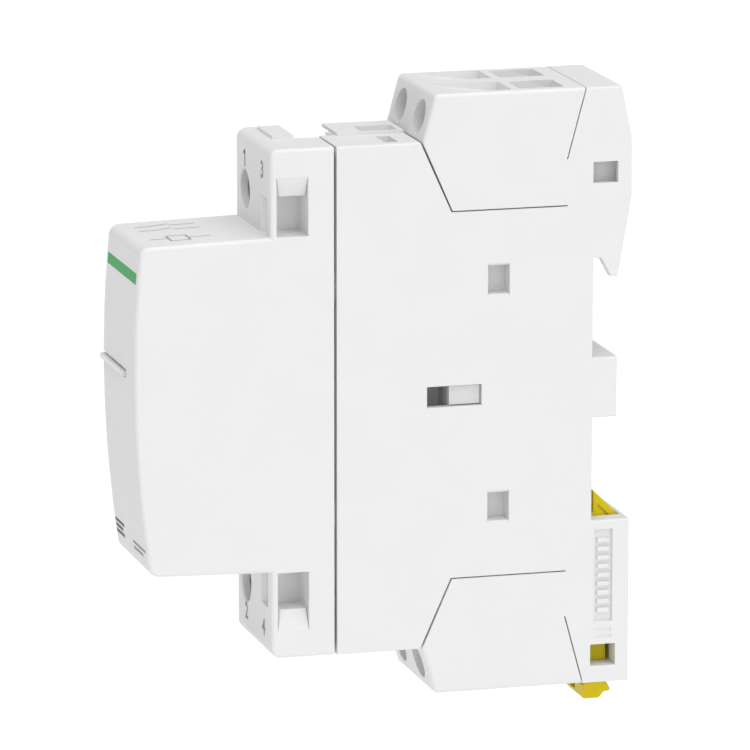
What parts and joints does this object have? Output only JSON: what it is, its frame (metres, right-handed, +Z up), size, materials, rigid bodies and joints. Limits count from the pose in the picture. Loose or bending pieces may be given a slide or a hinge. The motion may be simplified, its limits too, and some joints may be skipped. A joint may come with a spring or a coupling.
{
  "type": "din rail contactor",
  "caption": "Slim modular contactor that clips on a rail, with screw terminals at both ends, a coil-driven contact carrier, a position flag and a sliding rail clip.",
  "frame": {"origin": "front face of the mounting rail, on the rail's centre line, at the middle of the width", "axes": "+X right seen from the front, +Y into the panel, +Z up, so the front of the device faces -Y"},
  "size_m": [0.018, 0.0683, 0.084],
  "materials": {
    "housing_plastic": "fine spark-eroded moulded texture, very light grey",
    "shroud_plastic": "fine spark-eroded moulded texture, very light grey",
    "clip_plastic": "semi-gloss moulded yellow",
    "carrier_plastic": "moulded light grey thermoset",
    "flag_plastic": "moulded white",
    "bobbin_plastic": "glass-filled black moulding",
    "winding": "enamelled copper wire",
    "tape": "amber polyester tape",
    "magnet_steel": "ground laminated steel",
    "rivet_steel": "plain steel",
    "copper": "plain copper",
    "brass": "stamped brass",
    "silver": "silver alloy contact",
    "plated_steel": "zinc-plated steel",
    "spring_steel": "bright spring wire",
    "rubber": "moulded rubber"
  },
  "bodies": {
    "housing": {"front_cover": "housing_plastic", "rear_housing": "housing_plastic", "upper_terminal_shroud": "shroud_plastic", "lower_terminal_shroud": "shroud_plastic", "fixed_core": "magnet_steel", "core_rivets": "rivet_steel", "shading_rings": "copper", "coil_bobbin": "bobbin_plastic", "coil_winding": "winding", "coil_tape": "tape", "core_buffer": "rubber", "fixed_contact_tips": "silver", "coil_strip_a1": "brass", "coil_strip_a2": "brass", "return_spring_upper": "spring_steel", "return_spring_lower": "spring_steel", "fixed_contact_1": "brass", "fixed_contact_2": "brass", "fixed_contact_3": "brass", "fixed_contact_4": "brass"},
    "carrier": {"contact_carrier": "carrier_plastic", "armature": "magnet_steel", "armature_pin": "rivet_steel", "position_flag": "flag_plastic", "contact_spring_left": "spring_steel", "contact_spring_right": "spring_steel"},
    "left_bridge": {"bridge_left": "brass", "bridge_tips_left": "silver"},
    "right_bridge": {"bridge_right": "brass", "bridge_tips_right": "silver"},
    "clip": {"rail_clip": "clip_plastic"},
    "power_screw_1": {"terminal_screw_1": "plated_steel"},
    "power_clamp_1": {"terminal_cage_1": "plated_steel"},
    "power_screw_2": {"terminal_screw_2": "plated_steel"},
    "power_clamp_2": {"terminal_cage_2": "plated_steel"},
    "power_screw_3": {"terminal_screw_3": "plated_steel"},
    "power_clamp_3": {"terminal_cage_3": "plated_steel"},
    "power_screw_4": {"terminal_screw_4": "plated_steel"},
    "power_clamp_4": {"terminal_cage_4": "plated_steel"},
    "coil_terminal_screw_a1": {"coil_screw_a1": "plated_steel"},
    "coil_clamp_a1": {"coil_cage_a1": "plated_steel"},
    "coil_terminal_screw_a2": {"coil_screw_a2": "plated_steel"},
    "coil_clamp_a2": {"coil_cage_a2": "plated_steel"}
  },
  "joints": [
    {"name": "carrier_slide", "type": "slide", "parent": "housing", "child": "carrier", "axis": [0, -1, 0], "range_m": [0, 0.003], "stiffness_N_per_m": 300, "springref_m": -0.004, "deforming": ["return_spring_upper", "return_spring_lower"]},
    {"name": "bridge_left_overtravel", "type": "slide", "parent": "carrier", "child": "left_bridge", "axis": [0, -1, 0], "range_m": [-0.00061, 0], "deforming": ["contact_spring_left"]},
    {"name": "bridge_right_overtravel", "type": "slide", "parent": "carrier", "child": "right_bridge", "axis": [0, -1, 0], "range_m": [-0.00061, 0], "deforming": ["contact_spring_right"]},
    {"name": "rail_clip_slide", "type": "slide", "parent": "housing", "child": "clip", "axis": [0, 0, -1], "range_m": [0, 0.0035], "stiffness_N_per_m": 400, "springref_m": -0.003},
    {"name": "power_screw_1_turn", "type": "hinge", "parent": "housing", "child": "power_screw_1", "pos_m": [-0.0045, -0.02278, 0.0369], "axis": [0, 0.9632, -0.2689], "range_deg": [0, 2280]},
    {"name": "power_clamp_1_lift", "type": "slide", "parent": "housing", "child": "power_clamp_1", "axis": [0, -0.9632, 0.2689], "range_m": [0, 0.0038]},
    {"name": "power_screw_2_turn", "type": "hinge", "parent": "housing", "child": "power_screw_2", "pos_m": [-0.0045, -0.02278, -0.0369], "axis": [0, 0.9632, 0.2689], "range_deg": [0, 2280]},
    {"name": "power_clamp_2_lift", "type": "slide", "parent": "housing", "child": "power_clamp_2", "axis": [0, -0.9632, -0.2689], "range_m": [0, 0.0038]},
    {"name": "power_screw_3_turn", "type": "hinge", "parent": "housing", "child": "power_screw_3", "pos_m": [0.0045, -0.02278, 0.0369], "axis": [0, 0.9632, -0.2689], "range_deg": [0, 2280]},
    {"name": "power_clamp_3_lift", "type": "slide", "parent": "housing", "child": "power_clamp_3", "axis": [0, -0.9632, 0.2689], "range_m": [0, 0.0038]},
    {"name": "power_screw_4_turn", "type": "hinge", "parent": "housing", "child": "power_screw_4", "pos_m": [0.0045, -0.02278, -0.0369], "axis": [0, 0.9632, 0.2689], "range_deg": [0, 2280]},
    {"name": "power_clamp_4_lift", "type": "slide", "parent": "housing", "child": "power_clamp_4", "axis": [0, -0.9632, -0.2689], "range_m": [0, 0.0038]},
    {"name": "coil_screw_a1_turn", "type": "hinge", "parent": "housing", "child": "coil_terminal_screw_a1", "pos_m": [-0.0045, -0.0442, 0.0267], "axis": [0, 1, 0], "range_deg": [0, 1728]},
    {"name": "coil_clamp_a1_lift", "type": "slide", "parent": "housing", "child": "coil_clamp_a1", "axis": [0, -1, 0], "range_m": [0, 0.0024]},
    {"name": "coil_screw_a2_turn", "type": "hinge", "parent": "housing", "child": "coil_terminal_screw_a2", "pos_m": [-0.0045, -0.0442, -0.0267], "axis": [0, 1, 0], "range_deg": [0, 1728]},
    {"name": "coil_clamp_a2_lift", "type": "slide", "parent": "housing", "child": "coil_clamp_a2", "axis": [0, -1, 0], "range_m": [0, 0.0024]}
  ],
  "couplings": [
    {"joint": "bridge_left_overtravel", "follows": "carrier_slide", "ratio": -0.2},
    {"joint": "bridge_right_overtravel", "follows": "carrier_slide", "ratio": -0.2},
    {"joint": "power_screw_1_turn", "follows": "power_clamp_1_lift", "rad_per_m": 10472},
    {"joint": "power_screw_2_turn", "follows": "power_clamp_2_lift", "rad_per_m": 10472},
    {"joint": "power_screw_3_turn", "follows": "power_clamp_3_lift", "rad_per_m": 10472},
    {"joint": "power_screw_4_turn", "follows": "power_clamp_4_lift", "rad_per_m": 10472},
    {"joint": "coil_screw_a1_turn", "follows": "coil_clamp_a1_lift", "rad_per_m": 12566},
    {"joint": "coil_screw_a2_turn", "follows": "coil_clamp_a2_lift", "rad_per_m": 12566}
  ]
}
